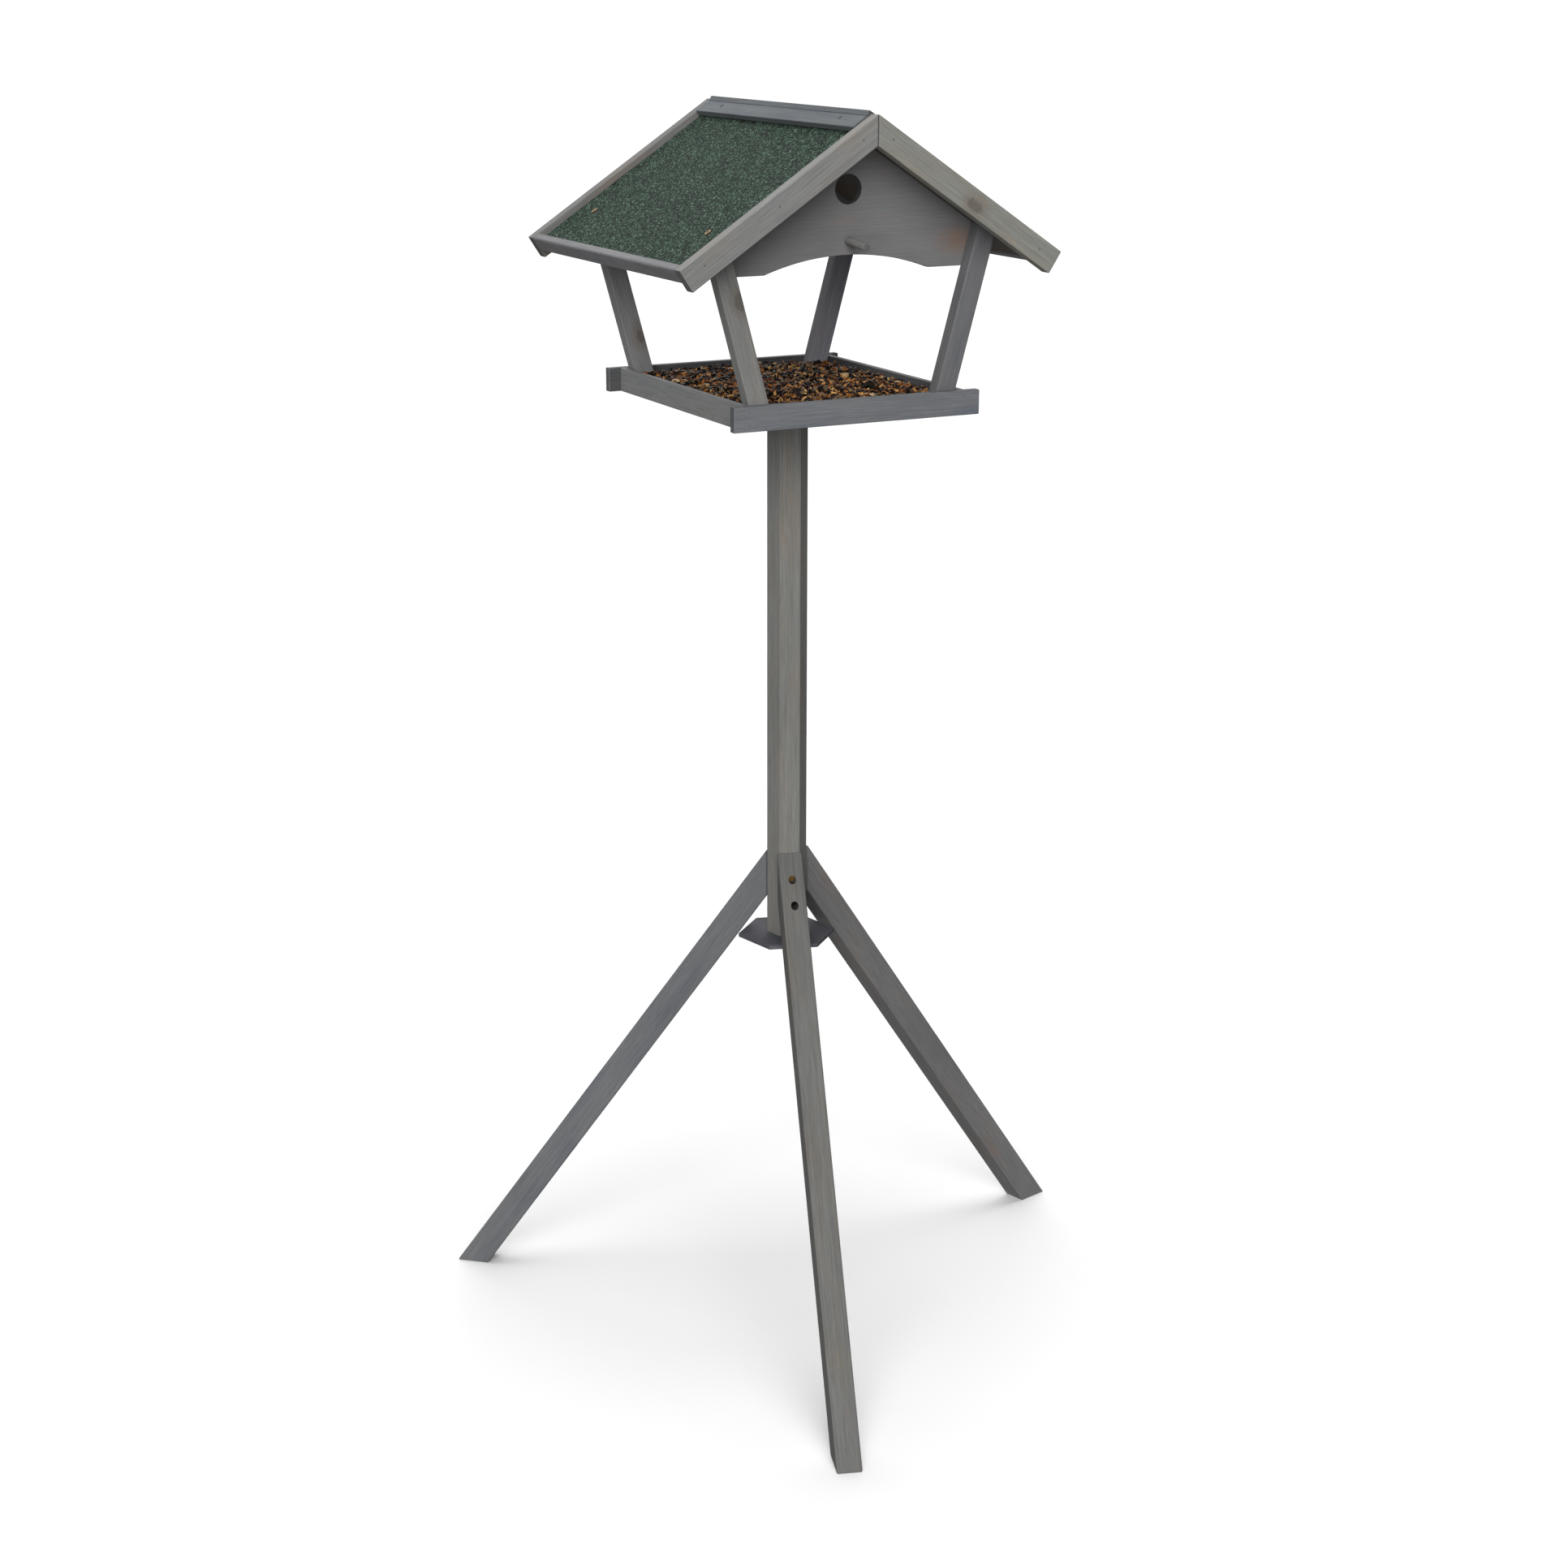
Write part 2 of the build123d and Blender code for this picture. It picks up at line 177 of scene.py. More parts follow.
# grey water-based stain on planed spruce: matt, thin enough for rings, fibres and knots to show;
# the grain is drawn in each board's own directions: x along it, y across it, z through it
spruceValues = {
    "early": "#828484",
    "late": "#646669",
    "cool": "#656c77",
    "warm": "#8a7f74",
    # the next tint is painted shade: it darkens the tray boards' inner faces, the gable hole's
    # wall and the screws' counterbores
    "paintedShade": "#2c2926",
    "knotHeart": "#4a4540",
    "knotHalo": "#6f665e",
    # the next tint is a painted highlight along the rounded arrises
    "arris": "#a3a4a2",
    # patterns in millimetres, those in threes along the board, across it and through it;
    # the fibres are drawn wider than real ones so that they show
    "ring": 2.1,
    "ringDepth": 0.17,
    # from one ring's edge to the next, white being late wood
    "ringSteps": [
        (0.0, "#8c8c8c"), (0.12, "#000000"), (0.55, "#2a2a2a"), (0.88, "#ffffff"), (1.0, "#8c8c8c")
    ],
    "ringBend": (620, 62, 62),
    "ringStray": 16,
    "pithOff": (0, 150, 50),
    "pithBelow": 22,
    "taper": 0.02,
    "fibre": (62, 1.8, 1.8),
    "fibreContrast": (0.84, 1.16),
    "hair": (22, 0.67, 0.67),
    "hairContrast": (0.84, 1.16),
    "patch": (110, 22, 22),
    "cloud": (250, 83, 83),
    "cloudContrast": (0.9, 1.1),
    "knotRagged": 11,
    "knotRaggedBy": 8,
    "knotStretch": 0.6,
    "knotPush": 11,
    "knotReach": 26,
    "knotHaloFrom": (18, 6),
    "knotHeartFrom": (7.5, 4.5),
    # how much of each tint lies over the wood at most
    "over": {
        "cool": 0.6, "warm": 0.7, "knotHalo": 0.5, "knotHeart": 0.45, "arris": 0.7, "paintedShade": 0.6
    },
    "roughness": 0.78,
    "endShade": 0.62,
    "bump": 0.00022,
}
# the same stain on rotary-cut plywood: broad, flat figure and fainter fibres
plyValues = dict(
    spruceValues,
    early="#777878",
    late="#6c6c6c",
    cool="#696b6f",
    warm="#867970",
    knotHeart="#806c5f",
    knotHalo="#806c5f",
    ring=3.5,
    ringDepth=0.22,
    fibre=(50, 1.25, 1.25),
    fibreContrast=(0.93, 1.07),
    hairContrast=(0.91, 1.09),
    patch=(60, 18, 18),
    endShade=0.8,
    bump=0.0001,
)
# the roof boards' bare inner faces: brown, and darkened with painted shade
underRoofValues = dict(plyValues, early="#605a55", late="#565049", cool="#56534f", warm="#6a5f54")


treeSpan = 9.0  # metres of timber that the boards are cut from


def stainedTimber(name, values):
    material, tree, output = newMaterial(name)
    grain = addNode(tree, "Attribute", attribute_name="grain").outputs["Vector"]
    board = addNode(tree, "Attribute", attribute_name="board").outputs["Vector"]
    knot = addNode(tree, "Attribute", attribute_name="knot").outputs["Vector"]
    stainAndPaintedLight = addNode(tree, "Attribute", attribute_name="stainAndPaintedLight").outputs["Vector"]
    endFace = addNode(tree, "Attribute", attribute_name="endFace").outputs["Fac"]
    arris = addNode(tree, "Attribute", attribute_name="arris").outputs["Fac"]
    # the marked hollows get painted shade
    paintedShade = addNode(tree, "Attribute", attribute_name="paintedShade").outputs["Fac"]
    stainAndLightParts = addNode(tree, "SeparateXYZ", {0: stainAndPaintedLight}).outputs
    redAndBlue = {0: stainAndLightParts[0], 1: stainAndLightParts[2]}
    brownness = addNode(tree, "Math", redAndBlue, operation="SUBTRACT").outputs[0]
    knotSize = addNode(tree, "SeparateXYZ", {0: knot}).outputs[2]

    # each board is cut from its own place in the tree
    inTree = {0: board, "Scale": treeSpan}
    inTree = addNode(tree, "VectorMath", inTree, operation="SCALE").outputs[0]
    shifted = addNode(tree, "VectorMath", {0: grain, 1: inTree}, operation="ADD").outputs[0]

    # each pattern is a noise of its own size: its detail and its roughness
    patterns = {}
    for key, detail, roughness in (
        ("ringBend", 3.0, 0.55),
        ("fibre", 3.0, 0.6),
        ("patch", 4.0, 0.6),
        ("cloud", 3.0, 0.5),
        ("hair", 2.0, 0.7),
    ):
        sized = {0: shifted, 1: perMetre(values[key])}
        sized = addNode(tree, "VectorMath", sized, operation="MULTIPLY").outputs[0]
        figure = {"Vector": sized, "Scale": 1.0, "Detail": detail, "Roughness": roughness}
        patterns[key] = addNode(tree, "TexNoise", figure)

    # a knot pushes the rings aside
    toKnot = addNode(tree, "VectorMath", {0: grain, 1: knot}, operation="SUBTRACT").outputs[0]
    flatKnot = {0: toKnot, 1: (values["knotStretch"], 1, 0)}
    flatKnot = addNode(tree, "VectorMath", flatKnot, operation="MULTIPLY").outputs[0]
    raggedness = {"Vector": shifted, "Scale": 1000 / values["knotRagged"], "Detail": 2.0}
    wobble = addNode(tree, "TexNoise", raggedness).outputs["Fac"]
    wobble = addNode(tree, "Math", {0: wobble, 1: 0.5}, operation="SUBTRACT").outputs[0]
    wobble = {0: wobble, 1: values["knotRaggedBy"] / 1000}
    wobble = addNode(tree, "Math", wobble, operation="MULTIPLY").outputs[0]
    knotReach = addNode(tree, "VectorMath", {0: flatKnot}, operation="LENGTH").outputs["Value"]
    knotReach = addNode(tree, "Math", {0: knotReach, 1: wobble}, operation="ADD").outputs[0]
    knotReach = addNode(tree, "Math", {0: knotReach, 1: knotSize}, operation="DIVIDE").outputs[0]
    reach, push = values["knotReach"] / 1000, values["knotPush"] / 1000
    pushFade = {"Value": knotReach, 1: 0.0, 2: reach, 3: push, 4: 0.0}
    knotPush = addNode(tree, "MapRange", pushFade, interpolation_type="SMOOTHERSTEP").outputs[0]

    # growth rings: the distance from the pith, which runs nearly along the board
    half = (0.5, 0.5, 0.5)
    bend = patterns["ringBend"].outputs["Color"]
    bend = addNode(tree, "VectorMath", {0: bend, 1: half}, operation="SUBTRACT").outputs[0]
    stray = values["ringStray"] / 1000
    bend = addNode(tree, "VectorMath", {0: bend, "Scale": stray}, operation="SCALE").outputs[0]
    boardMid = addNode(tree, "VectorMath", {0: board, 1: half}, operation="SUBTRACT").outputs[0]
    pithOff = [distance / 1000 for distance in values["pithOff"]]
    pithPlace = {0: boardMid, 1: pithOff, 2: (0, 0, values["pithBelow"] / 1000)}
    pith = addNode(tree, "VectorMath", pithPlace, operation="MULTIPLY_ADD").outputs[0]
    fromPith = addNode(tree, "VectorMath", {0: grain, 1: pith}, operation="SUBTRACT").outputs[0]
    fromPith = addNode(tree, "VectorMath", {0: fromPith, 1: bend}, operation="ADD").outputs[0]
    fromPith = {0: fromPith, 1: (values["taper"], 1, 1)}
    fromPith = addNode(tree, "VectorMath", fromPith, operation="MULTIPLY").outputs[0]
    ringRadius = addNode(tree, "VectorMath", {0: fromPith}, operation="LENGTH").outputs["Value"]
    ringRadius = addNode(tree, "Math", {0: ringRadius, 1: knotPush}, operation="ADD").outputs[0]
    rings = {0: ringRadius, 1: 1000 / values["ring"]}
    rings = addNode(tree, "Math", rings, operation="MULTIPLY").outputs[0]
    ringPhase = addNode(tree, "Math", {0: rings}, operation="FRACT").outputs[0]
    ringSteps = values["ringSteps"]
    lateWood = addNode(tree, "ValToRGB", {"Fac": ringPhase}, ramp=ringSteps).outputs["Color"]
    lateWood = {0: lateWood, 1: values["ringDepth"]}
    lateWood = addNode(tree, "Math", lateWood, operation="MULTIPLY").outputs[0]

    # the stain took unevenly: blue-grey where it lies thick and brownish where the wood shows
    patches = patterns["patch"].outputs["Fac"]
    warmth = addNode(tree, "Math", {0: patches, 1: brownness}, operation="ADD").outputs[0]
    # the arrises take a painted highlight, the marked hollows painted shade
    parts = {"arris": arris, "paintedShade": paintedShade}
    heart, halo = values["knotHeartFrom"], values["knotHaloFrom"]
    for tint, source, start, end in (
        ("warm", warmth, 0.52, 0.9),
        ("cool", warmth, 0.5, 0.15),
        ("knotHalo", knotReach, halo[0] / 1000, halo[1] / 1000),
        ("knotHeart", knotReach, heart[0] / 1000, heart[1] / 1000),
    ):
        fade = {"Value": source, 1: start, 2: end, 3: 0.0, 4: 1.0}
        parts[tint] = addNode(tree, "MapRange", fade, interpolation_type="SMOOTHSTEP").outputs[0]

    # the rings first, then everything that lies over them
    ringColours = [(0.0, values["early"]), (1.0, values["late"])]
    colour = addNode(tree, "ValToRGB", {"Fac": lateWood}, ramp=ringColours).outputs["Color"]
    for tint, most in values["over"].items():
        part = addNode(tree, "Math", {0: parts[tint], 1: most}, operation="MULTIPLY").outputs[0]
        over = {0: part, 6: colour, 7: hexToLinear(values[tint])}
        colour = addNode(tree, "Mix", over, data_type="RGBA").outputs[2]

    # end grain drinks the stain; fibres, hairs and slow clouds make the rest lighter and darker
    shade = addNode(tree, "MapRange", {"Value": endFace, 3: 1.0, 4: values["endShade"]}).outputs[0]
    for key, start, end in (("fibre", 0.25, 0.75), ("hair", 0.25, 0.75), ("cloud", 0.3, 0.7)):
        low, high = values[key + "Contrast"]
        spread = {"Value": patterns[key].outputs["Fac"], 1: start, 2: end, 3: low, 4: high}
        spread = addNode(tree, "MapRange", spread).outputs[0]
        shade = addNode(tree, "Math", {0: shade, 1: spread}, operation="MULTIPLY").outputs[0]
    # each piece's tone, which is partly its stain and partly painted light and shade
    colour = addNode(tree, "VectorMath", {0: colour, 1: stainAndPaintedLight}, operation="MULTIPLY").outputs[0]
    colour = addNode(tree, "VectorMath", {0: colour, "Scale": shade}, operation="SCALE").outputs[0]

    fibres = patterns["fibre"].outputs["Fac"]
    height = addNode(tree, "Math", {0: fibres, 1: lateWood}, operation="ADD").outputs[0]
    relief = {"Height": height, "Distance": values["bump"], "Strength": 1.0}
    relief = addNode(tree, "Bump", relief).outputs[0]
    finish = {
        "Base Color": colour,
        "Roughness": values["roughness"],
        "IOR": 1.45,
        "Specular IOR Level": 0.35,
        "Normal": relief,
    }
    surface = addNode(tree, "BsdfPrincipled", finish)
    tree.links.new(surface.outputs[0], output.inputs["Surface"])
    return material


stainedSpruce = stainedTimber("stainedSpruce", spruceValues)
stainedPlywood = stainedTimber("stainedPlywood", plyValues)
underRoofPly = stainedTimber("underRoofPly", underRoofValues)
print("wood stained")


# metres and degrees, except sideways and endwards: how squarely a face looks along the board
shapingValues = {
    "mergeWithin": 0.000004,
    "flatWithin": 0.7,
    "arrisFrom": 24,
    "shortestArris": 0.006,
    "smoothUpTo": 32,
    "sideways": 0.2,
    "endwards": 0.6,
}
noKnot = (5000, 5000, 1)  # too far from the board to show


def cleanCopy(name):
    # a CAD node's triangles merged into whole flat faces
    bm = bmesh.new()
    bm.from_mesh(nodes[name].data)
    bmesh.ops.remove_doubles(bm, verts=bm.verts, dist=shapingValues["mergeWithin"])
    flat = math.radians(shapingValues["flatWithin"])
    bmesh.ops.dissolve_limit(bm, angle_limit=flat, verts=bm.verts, edges=bm.edges)
    return bm


def boardDirections(bm, along=None):
    # along: given, or the longest arris; through: the normal of the most face area beside it
    if along is None:
        longest = max(bm.edges, key=lambda edge: edge.calc_length())
        along = longest.verts[1].co - longest.verts[0].co
    along = Vector(along).normalized()
    forwards = Vector((0.3, 0.5, 1))
    if along.dot(forwards) < 0:
        along = -along
    sides = [face for face in bm.faces if abs(face.normal.dot(along)) < shapingValues["sideways"]]
    through = max(sides, key=lambda face: face.calc_area()).normal
    through = (through - along * through.dot(along)).normalized()
    return along, through.cross(along), through


def breakArrises(bm, arris, shortest):
    # takes the sharpness off the long arrises and leaves screw holes alone
    sharp = math.radians(shapingValues["arrisFrom"])
    corners = [
        edge
        for edge in bm.edges
        if edge.is_manifold and edge.calc_face_angle() > sharp and edge.calc_length() > shortest
    ]
    made = bmesh.ops.bevel(
        bm,
        geom=corners,
        offset=arris,
        offset_type="OFFSET",
        segments=2,
        profile=0.5,
        affect="EDGES",
        clamp_overlap=True,
        material=-1,
    )
    return set(made["faces"])


def timberPiece(name, look, material):
    bm = cleanCopy(name)
    axes = boardDirections(bm, look.get("along"))
    rounded = breakArrises(bm, look["arris"], look.get("shortest", shapingValues["shortestArris"]))
    # marks: the arrises for a painted highlight, the end grain, and the faces that get painted
    # shade
    marks = {key: bm.faces.layers.float.new(key) for key in ("arris", "endFace", "paintedShade")}
    paintedShade = look.get("paintedShade", lambda face: False)
    for face in bm.faces:
        face.smooth = look.get("smooth", False)
        face[marks["arris"]] = float(face in rounded)
        face[marks["endFace"]] = float(abs(face.normal.dot(axes[0])) > shapingValues["endwards"])
        face[marks["paintedShade"]] = float(face not in rounded and paintedShade(face))
    inBoard = Matrix(axes)
    places = [inBoard @ v.co for v in bm.verts]
    lows = [min(place[i] for place in places) for i in range(3)]
    highs = [max(place[i] for place in places) for i in range(3)]
    middle = Vector([(low + high) / 2 for low, high in zip(lows, highs)])
    vectors = bm.verts.layers.float_vector
    layers = {key: vectors.new(key) for key in ("grain", "board", "knot", "stainAndPaintedLight")}
    pick = random.Random(name)
    board = Vector((pick.random(), pick.random(), pick.random()))
    along, across, size = look.get("knot", noKnot)
    knot = Vector((along / 1000, across / 1000, size))
    stainAndPaintedLight = Vector(look["tone"])
    for v, place in zip(bm.verts, places):
        v[layers["grain"]] = place - middle
        v[layers["board"]] = board
        v[layers["knot"]] = knot
        v[layers["stainAndPaintedLight"]] = stainAndPaintedLight
    mesh = bpy.data.meshes.new(name + "Timber")
    bm.to_mesh(mesh)
    bm.free()
    if look.get("smooth"):
        mesh.set_sharp_from_angle(angle=math.radians(shapingValues["smoothUpTo"]))
    mesh.materials.append(material)
    piece = bpy.data.objects.new(name + "Timber", mesh)
    scene.collection.objects.link(piece)
    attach(piece, "root")
    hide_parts(name)


# faces darkened with painted shade: lengths in metres, an area in square metres, the rest how
# squarely a face looks
paintedShadeValues = {
    "inwards": 0.45,
    "upwards": 0.5,
    "forwards": 0.3,
    "holeAbove": 0.089,
    "holeReach": 0.0175,
    "boreFacet": 0.00002,
}


def inTray(face):
    # the tray boards' inner faces, darkened with painted shade
    middle = face.calc_center_median()
    outwards = Vector((middle.x, middle.y, 0)).normalized()
    inwards = -face.normal.dot(outwards)
    return inwards > paintedShadeValues["inwards"] and abs(face.normal.z) < paintedShadeValues["upwards"]


def inHole(face):
    # the wall of the gable's round hole, darkened with painted shade
    middle = face.calc_center_median()
    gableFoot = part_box("gable_front")[0].z
    centre = Vector((0, middle.y, gableFoot + paintedShadeValues["holeAbove"]))
    nearHole = (middle - centre).length < paintedShadeValues["holeReach"]
    return nearHole and abs(face.normal.y) < paintedShadeValues["forwards"]


def inBore(face):
    # the facets of the screws' counterbores, darkened with painted shade
    return face.calc_area() < paintedShadeValues["boreFacet"]


# knot: millimetres along and across the board from its middle, and its size;
# tone: how light and how coloured each piece is, partly how the stain took and partly painted
# light and shade that makes a piece lighter or darker than the lamps leave it
spruceLooks = {
    "tray_board_front": {"arris": 0.0009, "paintedShade": inTray, "tone": (0.84, 0.85, 0.9)},
    "tray_board_back": {"arris": 0.0009, "paintedShade": inTray, "tone": (0.9, 0.9, 0.94)},
    "tray_board_left": {"arris": 0.0009, "paintedShade": inTray, "tone": (1.13, 1.1, 1.1)},
    "tray_board_right": {"arris": 0.0009, "paintedShade": inTray, "tone": (0.95, 0.95, 1.0)},
    "post_front_left": {"arris": 0.0014, "knot": (30, -8, 1), "tone": (1.1, 1.07, 1.03)},
    "post_front_right": {"arris": 0.0014, "tone": (0.75, 0.73, 0.76)},
    "post_back_left": {"arris": 0.0014, "knot": (-45, 6, 0.9), "tone": (1.13, 1.09, 1.1)},
    "post_back_right": {"arris": 0.0014, "tone": (1.27, 1.22, 1.34)},
    "barge_board_front_left": {"arris": 0.001, "tone": (1.13, 1.1, 1.07)},
    "barge_board_front_right": {"arris": 0.001, "knot": (-14, 3, 1), "tone": (1.25, 1.23, 1.13)},
    "barge_board_back_left": {"arris": 0.001, "tone": (0.84, 0.8, 0.78)},
    "barge_board_back_right": {"arris": 0.001, "tone": (1, 0.98, 0.96)},
    "eave_strip_left": {"arris": 0.0006, "tone": (0.95, 0.92, 0.95)},
    "eave_strip_right": {"arris": 0.0006, "tone": (1.05, 1.02, 1.04)},
    "ridge_board_left": {"arris": 0.0008, "tone": (0.6, 0.63, 0.66)},
    "ridge_board_right": {"arris": 0.0008, "tone": (0.6, 0.63, 0.66)},
    "pole": {"arris": 0.001, "tone": (0.96, 0.93, 0.88)},
    "leg_front": {"arris": 0.0026, "paintedShade": inBore, "tone": (0.66, 0.64, 0.61)},
    "leg_left": {"arris": 0.0026, "paintedShade": inBore, "tone": (0.67, 0.67, 0.7)},
    "leg_right": {"arris": 0.0026, "paintedShade": inBore, "tone": (0.86, 0.82, 0.82)},
    "perch_front": {
        "arris": 0.0008, "shortest": 0.0004, "smooth": True, "tone": (1.02, 0.99, 0.95)
    },
    "perch_back": {
        "arris": 0.0008, "shortest": 0.0004, "smooth": True, "tone": (1.02, 0.99, 0.95)
    },
}
plywoodLooks = {
    "gable_front": {
        "arris": 0.0005, "along": (1, 0, 0), "knot": (141, 47, 1.3), "paintedShade": inHole,
        "tone": (1.16, 1.14, 1.15),
    },
    "gable_back": {
        "arris": 0.0005, "along": (1, 0, 0), "paintedShade": inHole, "tone": (1.05, 1.03, 1.05)
    },
    "tray_floor": {"arris": 0.0005, "along": (0, 1, 0), "tone": (1, 1, 1)},
    "head_plate": {"arris": 0.0008, "along": (1, 0, 0), "tone": (0.85, 0.85, 0.85)},
    "spreader_plate": {"arris": 0.0006, "along": (1, 0, 0), "tone": (0.62, 0.62, 0.7)},
}
underRoofLooks = {
    "roof_board_left": {"arris": 0.0005, "along": (0, 1, 0), "tone": (1, 1, 1)},
    "roof_board_right": {"arris": 0.0005, "along": (0, 1, 0), "tone": (1, 1, 1)},
}
for looks, wood, slot in (
    (spruceLooks, stainedSpruce, "stained_softwood"),
    (plywoodLooks, stainedPlywood, "stained_plywood"),
    (underRoofLooks, underRoofPly, "stained_plywood"),
):
    for name, look in looks.items():
        timberPiece(name, look, wood)
print("timber shaped")


# roofing felt: bitumen sheet dressed with crushed green slate, dull, with pale and dark grains
# geometry in metres, patterns in millimetres; the grit is drawn a little coarse so that it shows
feltValues = {
    "cell": 0.0021,
    "rise": 0.0003,
    "pucker": 0.0026,
    "sag": 0.0005,
    "sagReach": 0.05,
    "sagLow": 0.4,
    "groove": 0.0035,
    "grooveDepth": 0.0016,
    "dimple": 0.0012,
    "dimpleReach": 0.011,
    "grit": 1.35,
    "grains": [
        (0.0, "#050906"), (0.45, "#111d16"), (0.72, "#273f31"), (0.9, "#486654"), (1.0, "#7c9381")
    ],
    "clump": 3.3,
    "clumpContrast": (0.8, 1.2),
    # how dark the painted shade in the groove beside the frame is
    "grooveShade": 0.15,
    "roughness": 0.9,
    "bump": 0.0006,
}


def mineralFelt(values):
    material, tree, output = newMaterial("greenMineralFelt")
    place = addNode(tree, "TexCoord").outputs["Object"]
    grains = {"Vector": place, "Scale": 1000 / values["grit"]}
    grains = addNode(tree, "TexVoronoi", grains, feature="F1")
    shadeOf = addNode(tree, "SeparateColor", {0: grains.outputs["Color"]}).outputs
    colour = addNode(tree, "ValToRGB", {"Fac": shadeOf[0]}, ramp=values["grains"]).outputs["Color"]
    clumps = {"Vector": place, "Scale": 1000 / values["clump"], "Detail": 3.0}
    clumps = addNode(tree, "TexNoise", clumps).outputs["Fac"]
    low, high = values["clumpContrast"]
    clumpShade = {"Value": clumps, 1: 0.3, 2: 0.7, 3: low, 4: high}
    # painted shade in the groove where the sheet turns down beside its frame
    groove = addNode(tree, "Attribute", attribute_name="groove").outputs["Fac"]
    grooveShade = {"Value": groove, 3: 1.0, 4: values["grooveShade"]}
    for shading in (clumpShade, grooveShade):
        shaded = {0: colour, "Scale": addNode(tree, "MapRange", shading).outputs[0]}
        colour = addNode(tree, "VectorMath", shaded, operation="SCALE").outputs[0]
    relief = {"Height": grains.outputs["Distance"], "Distance": values["bump"], "Strength": 1.0}
    relief = addNode(tree, "Bump", relief, invert=True).outputs[0]
    finish = {
        "Base Color": colour,
        "Roughness": values["roughness"],
        "IOR": 1.5,
        "Specular IOR Level": 0.3,
        "Normal": relief,
    }
    surface = addNode(tree, "BsdfPrincipled", finish)
    tree.links.new(surface.outputs[0], output.inputs["Surface"])
    return material


greenMineralFelt = mineralFelt(feltValues)


def screwHeads(node):
    # the middle of each fastener in a node, one to each quarter of the roof
    quarters = {}
    for v in nodes[node].data.vertices:
        quarters.setdefault((v.co.x > 0, v.co.y > 0), []).append(v.co)
    return [sum(points, Vector()) / len(points) for points in quarters.values()]


def feltSheet(name, side, values):
    # laid on the slope: u along the ridge, v up the slope, n out of the roof
    cad = [v.co for v in nodes[name].data.vertices]
    big = max(nodes[name].data.polygons, key=lambda p: p.area if p.normal.z > 0.5 else 0)
    n = big.normal.copy()
    u = Vector((0, 1, 0))
    v = n.cross(u)
    spans = [(min(p.dot(axis) for p in cad), max(p.dot(axis) for p in cad)) for axis in (u, v, n)]
    (uLow, uHigh), (vLow, vHigh), (nLow, nHigh) = spans
    uSpan, vSpan = uHigh - uLow, vHigh - vLow
    bm = bmesh.new()
    across = round(uSpan / values["cell"])
    upward = round(vSpan / values["cell"])
    bmesh.ops.create_grid(bm, x_segments=across, y_segments=upward, size=0.5)
    grooveLayer = bm.verts.layers.float.new("groove")
    rim = [edge for edge in bm.edges if edge.is_boundary]
    skirt = bmesh.ops.extrude_edge_only(bm, edges=rim)["geom"]
    skirt = {item for item in skirt if isinstance(item, bmesh.types.BMVert)}
    heads = [point for point in screwHeads("roof_screws") if point.x * side > 0]
    for vert in bm.verts:
        uPlace = uLow + (vert.co.x + 0.5) * uSpan
        vPlace = vLow + (vert.co.y + 0.5) * vSpan
        flat = u * uPlace + v * vPlace
        if vert in skirt:
            vert[grooveLayer] = 1.0
            vert.co = flat + n * nLow
            continue
        top = flat + n * (nHigh - values["rise"])
        height = values["rise"] * noise.noise(top / values["pucker"])
        height += values["sag"] * (noise.noise(top / values["sagReach"]) - values["sagLow"])
        for head in heads:
            away = ((top - head) - n * (top - head).dot(n)).length / values["dimpleReach"]
            if away < 1:
                height -= values["dimple"] * (0.5 + 0.5 * math.cos(math.pi * away))
        # the sheet turns down into a groove beside its frame, which gets painted shade
        fromRim = min((0.5 - abs(vert.co.x)) * uSpan, (0.5 - abs(vert.co.y)) * vSpan)
        turnDown = max(0.0, 1 - fromRim / values["groove"])
        vert[grooveLayer] = turnDown
        vert.co = top + n * (height - values["grooveDepth"] * turnDown)
    bmesh.ops.holes_fill(bm, edges=[edge for edge in bm.edges if edge.is_boundary], sides=0)
    bmesh.ops.recalc_face_normals(bm, faces=bm.faces)
    mesh = bpy.data.meshes.new(name + "Sheet")
    bm.to_mesh(mesh)
    bm.free()
    mesh.shade_smooth()
    mesh.materials.append(greenMineralFelt)
    piece = bpy.data.objects.new(name + "Sheet", mesh)
    scene.collection.objects.link(piece)
    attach(piece, "root")
    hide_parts(name)


feltSheet("felt_left", -1, feltValues)
feltSheet("felt_right", 1, feltValues)
print("felt laid")


# loose wild bird seed: the bed in metres, patterns in millimetres, a seed's turns in radians
seedBedValues = {
    "cell": 0.004,
    "rise": 0.0024,
    "offFloor": 0.0005,
    "lowest": -0.0012,
    "usual": 0.0006,
    "highest": 0.0034,
    "slowHeap": 0.045,
    "slowShare": 0.6,
    "quickHeap": 0.009,
    "quickShare": 0.4,
    "tilt": 0.42,
    "roll": 1.1,
    "growth": (0.75, 1.2),
    "stripe": 0.75,
    "stripeColour": "#b8a078",
    "stripeOver": 0.75,
    "mottle": 1.1,
    "mottleContrast": (0.65, 1.3),
    "crumb": 2.5,
    # near-black: the crumbs' own colour and painted shade in the gaps between the seeds
    "crumbAndShadeColours": [(0.0, "#0a0503"), (0.6, "#1a0e07"), (0.9, "#3a1f0f"), (1.0, "#6a4020")],
}
